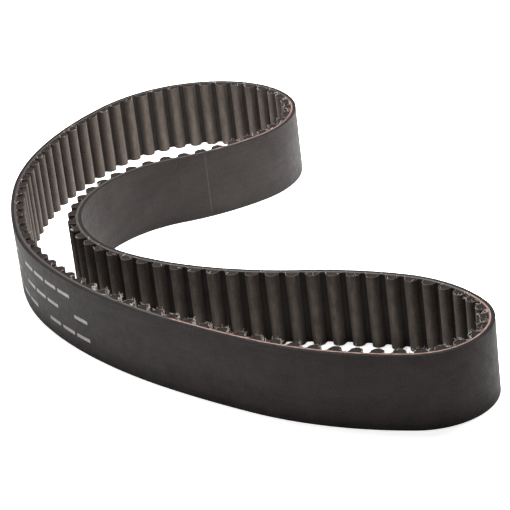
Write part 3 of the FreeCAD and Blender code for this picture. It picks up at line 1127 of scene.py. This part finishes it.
def build_fibre_tree():
    """Short bent hairs along a line, more of them where the line says so."""
    tree, entry, leave = new_tree("fibres_along_edge", {"Gap": 0.0003, "Length": 0.001,
                                                        "Radius": 0.00006, "Seed": 7.0})

    def random_value(kind, shift):
        """A Random Value node, whose seed is the tree's seed moved on by a shift."""
        seed = plus(tree, entry.outputs["Seed"], shift)
        made = node(tree, "FunctionNodeRandomValue", {"data_type": kind}, Seed=seed)
        return made, next(s for s in made.outputs if s.enabled)

    rail = step(tree, "GeometryNodeMeshToCurve", Mesh=entry.outputs["Geometry"])
    dots = step(tree, "GeometryNodeCurveToPoints", {"mode": "LENGTH"}, Curve=rail,
                Length=entry.outputs["Gap"])
    _, draw = random_value("FLOAT", 0.0)
    keep = maths(tree, "LESS_THAN", draw, read_value(tree, "wear"))
    hair = step(tree, "GeometryNodeCurveQuadraticBezier", Resolution=3, Start=(0.0, 0.0, -0.25),
                Middle=(0.0, 0.0, 0.55), End=(0.45, 0.0, 1.0))
    ring = step(tree, "GeometryNodeCurvePrimitiveCircle", Resolution=3, Radius=1.0)
    thin = maths(tree, "DIVIDE", entry.outputs["Radius"], entry.outputs["Length"])
    small = step(tree, "GeometryNodeTransform", Geometry=ring,
                 Scale=vector(tree, X=thin, Y=thin, Z=thin))
    tube = step(tree, "GeometryNodeCurveToMesh", Curve=hair, Profile_Curve=small, Fill_Caps=True)
    leaning, lean = random_value("FLOAT_VECTOR", 1.0)
    vectors = [s for s in leaning.inputs if s.type == "VECTOR"]
    vectors[0].default_value = (-MOST_LEAN, -MOST_LEAN, 0.0)
    vectors[1].default_value = (MOST_LEAN, MOST_LEAN, 6.283)
    _, grow = random_value("FLOAT", 2.0)
    tall = times(tree, spread(tree, grow, 0.0, 1.0, 0.35, 1.4), entry.outputs["Length"])
    hairs = step(tree, "GeometryNodeInstanceOnPoints", Points=dots, Selection=keep, Instance=tube,
                 Rotation=lean, Scale=vector(tree, X=tall, Y=tall, Z=tall))
    real = step(tree, "GeometryNodeRealizeInstances", Geometry=hairs)
    finish_tree(tree, entry, leave, store_map(tree, real, read_value(tree, "along")))
    return tree


fibre_tree = build_fibre_tree()


for number, span in enumerate(spans):
    points, places, crests = toothed_line(span, FABRIC / 2.0)
    top = WIDTH + 0.02
    source = line_mesh("fibres", [[(x, y, top) for x, y in points]], along=places,
                       wear=edge_fraying(places, crests))
    piece = run_tree("fibres_" + span["name"], fibre_tree, source, materials["fibre"],
                     Gap=FIBRE_GAP * MM, Length=FIBRE_LENGTH * MM, Radius=FIBRE_RADIUS * MM,
                     Seed=float(FIRST_SEED + number))
    pieces.append((piece, span, "facing_fabric"))
print("fibre faces:", sum(len(p.data.polygons) for p, _, _ in pieces[-len(spans):]))

# %% [markdown]
# ## Tying the skin to the frame
# The two end pieces ride on one stretch. Every other piece joins two stretches; it keeps its place,
# baked into its points, and rides on neither. Each piece takes the place of the frame's solids of
# its own layer.


def tie(piece, span, layer):
    """Hide the frame's solids that a piece replaces, and give the piece to its body if it has one
    only.
    """
    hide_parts(*[layer + "_" + label for label in span["labels"]])
    if len(span["bodies"]) == 1:
        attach(piece, span["bodies"][0])
        return
    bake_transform(piece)


for piece, span, layer in pieces:
    tie(piece, span, layer)
print("tied", len(pieces), "pieces")

# %% [markdown]
# ## Floor, light and camera
# Dark rubber on a white floor needs little light. A large lamp overhead draws the teeth, a second
# one from behind lifts the inner bend, and a dim surround fills the rest. The floor and the
# surround look white to the camera only, because a floor that shone on the belt would flatten its
# walls. The camera looks down from the front through a long lens, tilted a little to one side.

# %% Floor and light
FLOOR_HALF = 6.0
FLOOR_DROP = 0.0002
FLOOR_GLOW, FLOOR_SEEN = 0.08, 0.80
SURROUND = 0.16


def build_floor():
    """A large pale sheet under the belt."""
    mesh = bpy.data.meshes.new("floor")
    corners = [(-1, -1), (1, -1), (1, 1), (-1, 1)]
    mesh.from_pydata([(x * FLOOR_HALF, y * FLOOR_HALF, -FLOOR_DROP) for x, y in corners],
                     [], [(0, 1, 2, 3)])
    floor = bpy.data.objects.new("floor", mesh)
    bpy.context.scene.collection.objects.link(floor)
    material = bpy.data.materials.new("pale_floor")
    material.use_nodes = True
    shader = material.node_tree.nodes["Principled BSDF"]
    shader.inputs["Base Color"].default_value = (0.93, 0.93, 0.93, 1.0)
    shader.inputs["Roughness"].default_value = 0.9
    shader.inputs["Specular IOR Level"].default_value = 0.1
    shader.inputs["Emission Color"].default_value = (1.0, 1.0, 1.0, 1.0)
    tree = material.node_tree
    sight = tree.nodes.new("ShaderNodeLightPath").outputs["Is Camera Ray"]
    tree.links.new(spread(tree, sight, 0.0, 1.0, FLOOR_GLOW, FLOOR_SEEN),
                   shader.inputs["Emission Strength"])
    mesh.materials.append(material)


build_floor()
scene = bpy.context.scene
scene.view_settings.view_transform = "Standard"
world = bpy.data.worlds.new("studio")
world.use_nodes = True
tree = world.node_tree
around = tree.nodes["Background"]
around.inputs["Strength"].default_value = SURROUND
seen = tree.nodes.new("ShaderNodeBackground")
pick = tree.nodes.new("ShaderNodeMixShader")
tree.links.new(tree.nodes.new("ShaderNodeLightPath").outputs["Is Camera Ray"], pick.inputs[0])
tree.links.new(around.outputs[0], pick.inputs[1])
tree.links.new(seen.outputs[0], pick.inputs[2])
tree.links.new(pick.outputs[0], tree.nodes["World Output"].inputs["Surface"])
for light in (around, seen):
    light.inputs["Color"].default_value = (1.0, 1.0, 1.0, 1.0)
scene.world = world


def soft_light(name, place_at, aim, size, power):
    """A large square lamp that looks at a point."""
    lamp = bpy.data.lights.new(name, "AREA")
    lamp.shape = "SQUARE"
    lamp.size = size
    lamp.energy = power
    made = bpy.data.objects.new(name, lamp)
    made.location = place_at
    made.rotation_euler = (Vector(aim) - Vector(place_at)).to_track_quat("-Z", "Y").to_euler()
    bpy.context.scene.collection.objects.link(made)


soft_light("overhead", (0.04, 0.085, 0.40), (0.04, 0.06, 0.0), 0.34, 6.8)
soft_light("back_right", (0.62, 0.34, 0.34), (0.06, 0.10, 0.02), 0.30, 2.0)

# %% Camera
CAMERA_PLACE = (10.12, -855.10, 401.83)
LOOK_AROUND = math.radians(0.126)
LOOK_DOWN = math.radians(24.801)
TILT = math.radians(-7.006)
LENS = 159.515


def build_camera():
    """A long lens that looks down at the belt, with its horizon tilted."""
    side = Vector((1.0, 0.0, 0.0))
    forward = Vector((0.0, math.cos(LOOK_DOWN), -math.sin(LOOK_DOWN)))
    above = Vector((0.0, math.sin(LOOK_DOWN), math.cos(LOOK_DOWN)))
    right = math.cos(TILT) * side + math.sin(TILT) * above
    up = math.cos(TILT) * above - math.sin(TILT) * side
    axes = Matrix((right, up, -forward)).transposed()
    lens = bpy.data.cameras.new("camera")
    lens.sensor_width = 36.0
    lens.lens = LENS
    lens.clip_start = 0.01
    made = bpy.data.objects.new("camera", lens)
    turned = Matrix.Rotation(LOOK_AROUND, 3, "Z") @ axes
    made.matrix_world = Matrix.Translation(Vector(CAMERA_PLACE) * MM) @ turned.to_4x4()
    bpy.context.scene.collection.objects.link(made)
    bpy.context.scene.camera = made


build_camera()
print("camera at, m:", [round(v, 3) for v in bpy.context.scene.camera.location])

# %% [markdown]
# ## Finish
# The view layer is brought up to date.

# %% Finish
bpy.context.view_layer.update()
